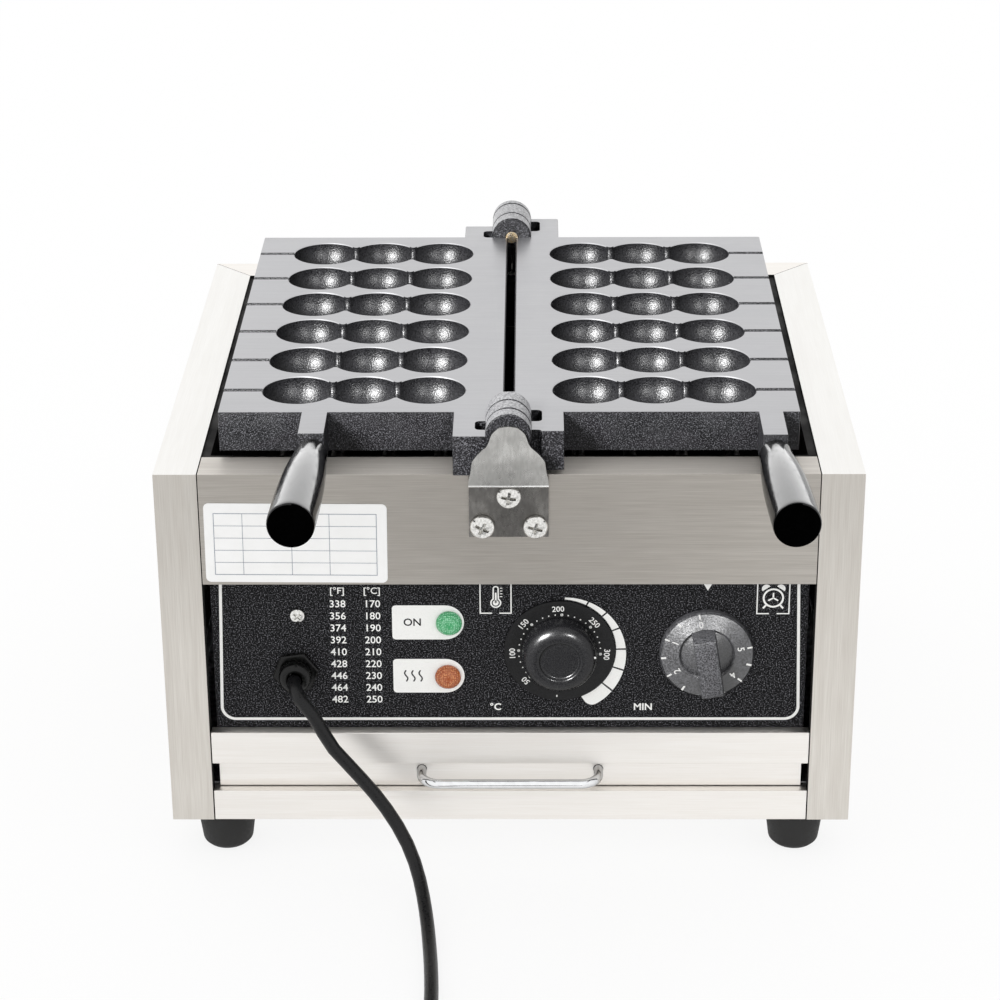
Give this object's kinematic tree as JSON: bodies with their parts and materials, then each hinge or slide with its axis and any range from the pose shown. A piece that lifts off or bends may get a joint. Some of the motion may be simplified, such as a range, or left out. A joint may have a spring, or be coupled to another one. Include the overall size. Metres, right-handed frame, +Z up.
{
  "type": "stick waffle maker",
  "caption": "Countertop stick waffle maker: two cast mould plates open like a book on a stainless steel case with dials, lamps, crumb drawer and cord",
  "frame": {"origin": "middle of the footprint without the cord, on the surface the feet stand on", "axes": "+X right, +Y back (the front with the controls faces -Y), +Z up"},
  "size_m": [0.4, 0.6745, 0.2879],
  "materials": {
    "brushed_steel": "vertically brushed stainless sheet, warm grey",
    "bright_steel": "bright stainless sheet and screws",
    "chromed_wire": "bright chromed wire",
    "cast_alloy": "dark coated casting, satin light grey on its worked face",
    "black_panel": "black grained enamel",
    "black_bakelite": "glossy black moulded handles and knobs",
    "dial_black": "satin black dial plate",
    "black_rubber": "dark moulded rubber",
    "cord_rubber": "smooth black cord sheath",
    "black_plastic": "glossy black nylon",
    "green_lens": "green moulded lens with a dot texture",
    "orange_lens": "orange moulded lens with a dot texture",
    "grey_plastic": "grey moulded switch housings",
    "ceramic": "off-white ceramic",
    "element_steel": "heat-darkened tube",
    "brass": "plain turned brass"
  },
  "bodies": {
    "case": {"left_side_panel": "brushed_steel", "right_side_panel": "brushed_steel", "rear_panel": "brushed_steel", "upper_front_panel": "brushed_steel", "middle_rail": "brushed_steel", "bottom_rail": "brushed_steel", "base_pan": "brushed_steel", "front_hinge_bracket": "bright_steel", "rear_hinge_bracket": "bright_steel", "front_bracket_top_screw": "bright_steel", "front_bracket_left_screw": "bright_steel", "front_bracket_right_screw": "bright_steel", "rear_bracket_top_screw": "bright_steel", "rear_bracket_left_screw": "bright_steel", "rear_bracket_right_screw": "bright_steel", "front_nut_plate": "bright_steel", "rear_nut_plate": "bright_steel", "heat_shield": "bright_steel", "front_element_support": "bright_steel", "rear_element_support": "bright_steel", "left_drawer_runner": "bright_steel", "right_drawer_runner": "bright_steel", "panel_screw": "bright_steel", "control_panel": "black_panel", "temperature_dial": "dial_black", "front_left_foot": "black_rubber", "front_right_foot": "black_rubber", "rear_left_foot": "black_rubber", "rear_right_foot": "black_rubber", "power_cord": "cord_rubber", "cord_coil": "cord_rubber", "cable_gland": "black_plastic", "gland_cap": "black_plastic", "gland_locknut": "black_plastic", "power_lamp_body": "black_plastic", "heat_lamp_body": "black_plastic", "plug": "black_plastic", "wiring_loom": "black_plastic", "power_lamp_lens": "green_lens", "heat_lamp_lens": "orange_lens", "thermostat_body": "grey_plastic", "timer_body": "grey_plastic", "terminal_block": "ceramic", "left_heating_element": "element_steel", "right_heating_element": "element_steel", "front_hinge_pin": "brass", "rear_hinge_pin": "brass", "thermostat_sensor": "brass"},
    "left_plate": {"left_mould_plate": "cast_alloy", "left_handle": "black_bakelite", "left_handle_stud": "bright_steel"},
    "right_plate": {"right_mould_plate": "cast_alloy", "right_handle": "black_bakelite", "right_handle_stud": "bright_steel"},
    "drawer": {"drawer_tray": "brushed_steel", "drawer_handle": "chromed_wire"},
    "temperature_control": {"temperature_knob": "black_bakelite", "temperature_shaft": "bright_steel"},
    "timer_control": {"timer_knob": "black_bakelite", "timer_shaft": "bright_steel"}
  },
  "joints": [
    {"name": "left_plate_hinge", "type": "hinge", "parent": "case", "child": "left_plate", "pos_m": [0, 0.046, 0.275], "axis": [0, 1, 0], "range_deg": [0, 180]},
    {"name": "right_plate_hinge", "type": "hinge", "parent": "case", "child": "right_plate", "pos_m": [0, 0.046, 0.275], "axis": [0, -1, 0], "range_deg": [0, 180]},
    {"name": "drawer_slide", "type": "slide", "parent": "case", "child": "drawer", "axis": [0, -1, 0], "range_m": [0, 0.3], "deforming": ["power_cord"]},
    {"name": "temperature_turn", "type": "hinge", "parent": "case", "child": "temperature_control", "pos_m": [0.029, -0.126, 0.1325], "axis": [0, 1, 0], "range_deg": [-262, 9]},
    {"name": "timer_turn", "type": "hinge", "parent": "case", "child": "timer_control", "pos_m": [0.1141, -0.126, 0.1317], "axis": [0, 1, 0], "range_deg": [0, 281]}
  ]
}
